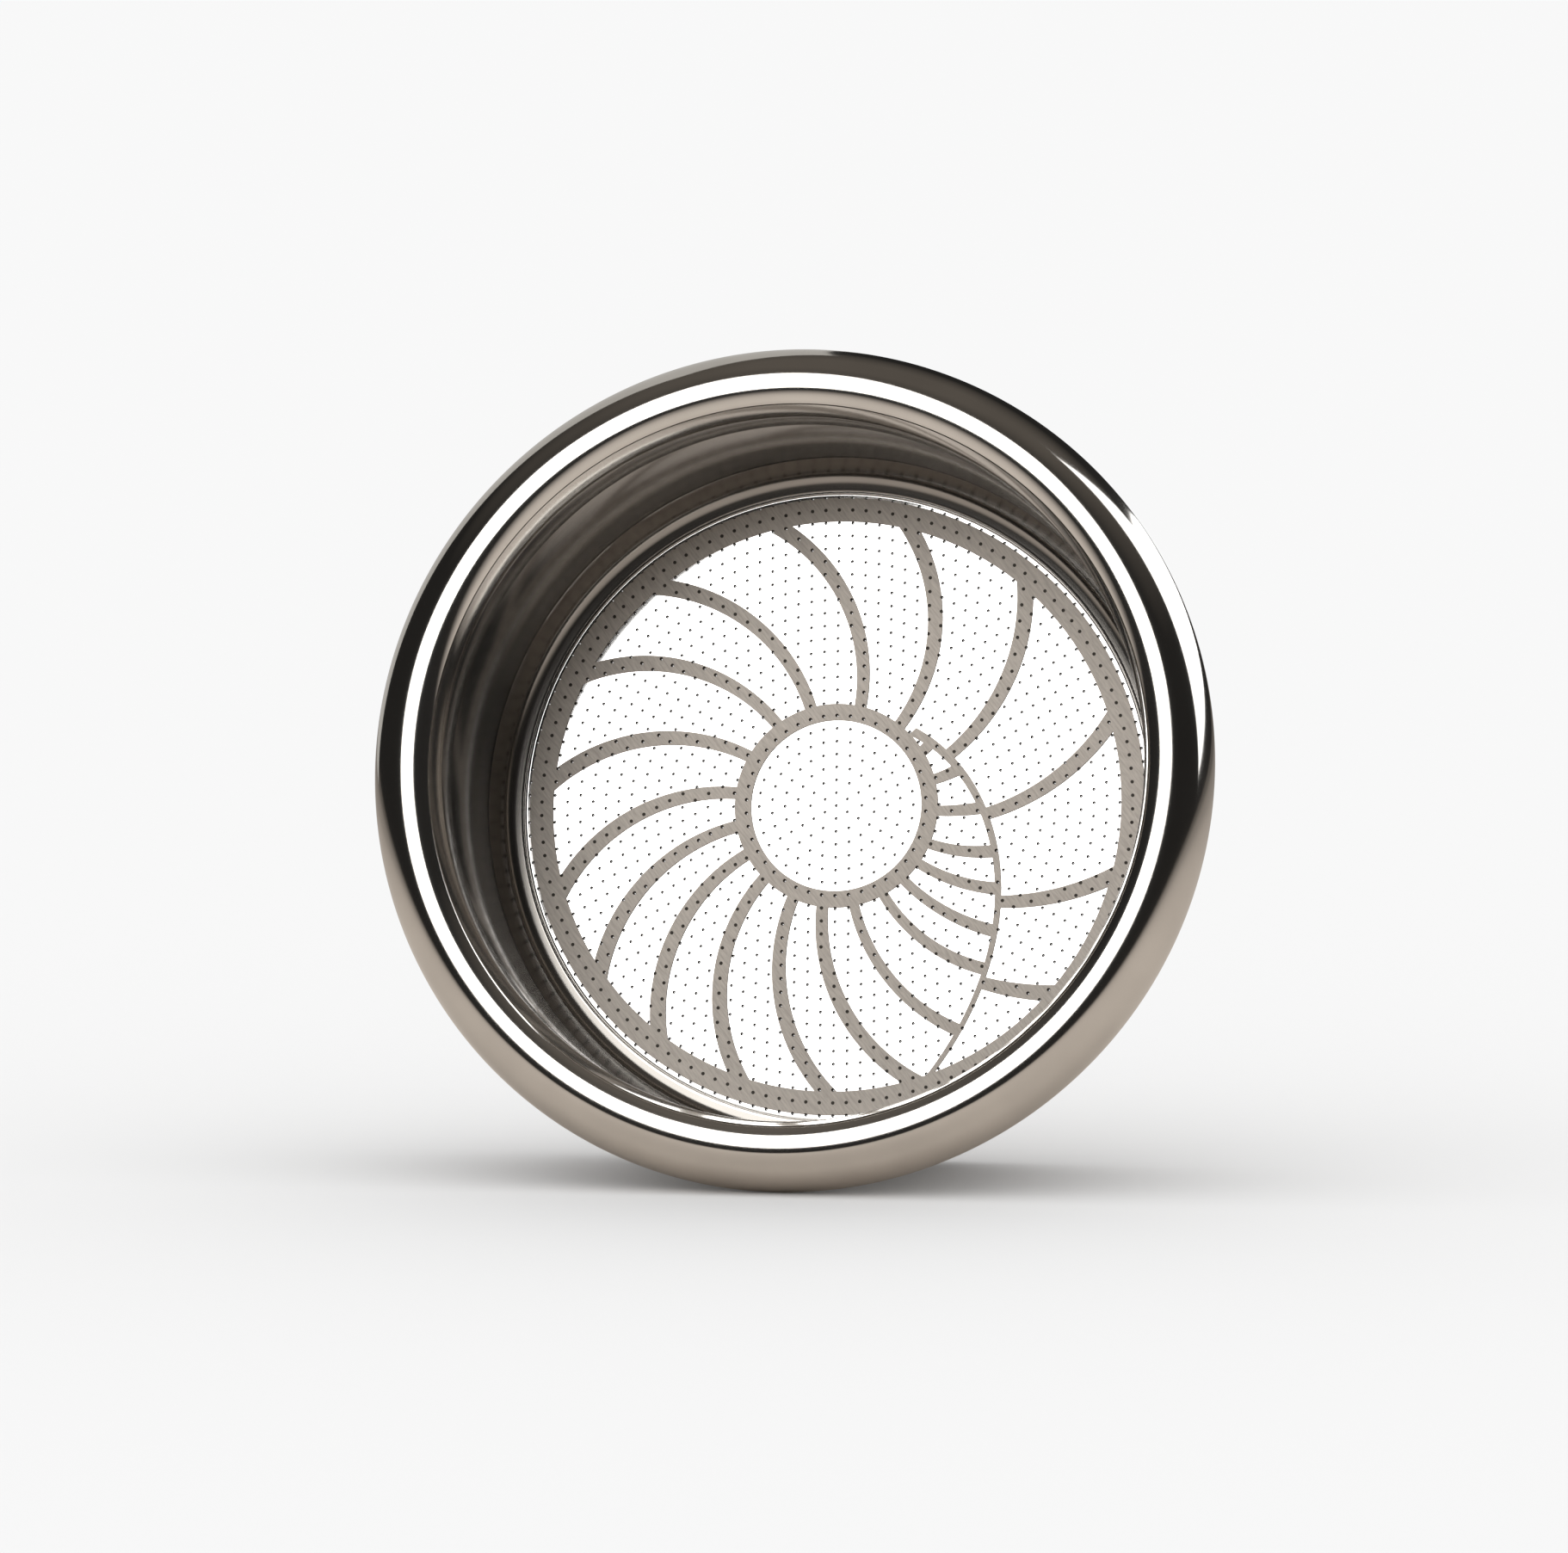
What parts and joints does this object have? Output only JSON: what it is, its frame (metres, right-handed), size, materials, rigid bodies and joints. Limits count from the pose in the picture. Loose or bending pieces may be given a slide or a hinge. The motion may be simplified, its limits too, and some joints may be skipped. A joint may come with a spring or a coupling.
{
  "type": "espresso portafilter basket",
  "caption": "Round stainless filter basket with a rolled rim, a straight wall and a finely perforated base under a spiral of curved ribs.",
  "frame": {"origin": "on the basket's axis, at the plane that its base stands on", "axes": "+Z along the basket's axis, from the base towards the open mouth; X and Y lie in the base"},
  "size_m": [0.07, 0.07, 0.0266],
  "materials": {
    "polished_rim": "polished stainless steel with a faint satin grain round the rim",
    "turned_wall": "polished stainless steel with fine turning lines",
    "mirror_plate": "mirror-polished stainless steel",
    "etched_land": "matte etched stainless steel with short fine grain"
  },
  "bodies": {
    "root": {"rim_flange": "polished_rim", "side_wall": "turned_wall", "corner_ring": "turned_wall", "filter_plate": "mirror_plate", "outer_band": "etched_land", "hub_ring": "etched_land", "spiral_rib": "etched_land", "chamber_rib_01": "etched_land", "chamber_rib_02": "etched_land", "chamber_rib_03": "etched_land", "chamber_rib_04": "etched_land", "chamber_rib_05": "etched_land", "chamber_rib_06": "etched_land", "chamber_rib_07": "etched_land", "chamber_rib_08": "etched_land", "chamber_rib_09": "etched_land", "chamber_rib_10": "etched_land", "chamber_rib_11": "etched_land", "chamber_rib_12": "etched_land", "chamber_rib_13": "etched_land", "chamber_rib_14": "etched_land", "chamber_rib_15": "etched_land", "whorl_rib_01": "etched_land", "whorl_rib_02": "etched_land", "whorl_rib_03": "etched_land", "whorl_rib_04": "etched_land", "whorl_rib_05": "etched_land", "whorl_rib_06": "etched_land", "whorl_rib_07": "etched_land", "whorl_rib_08": "etched_land"}
  },
  "joints": []
}
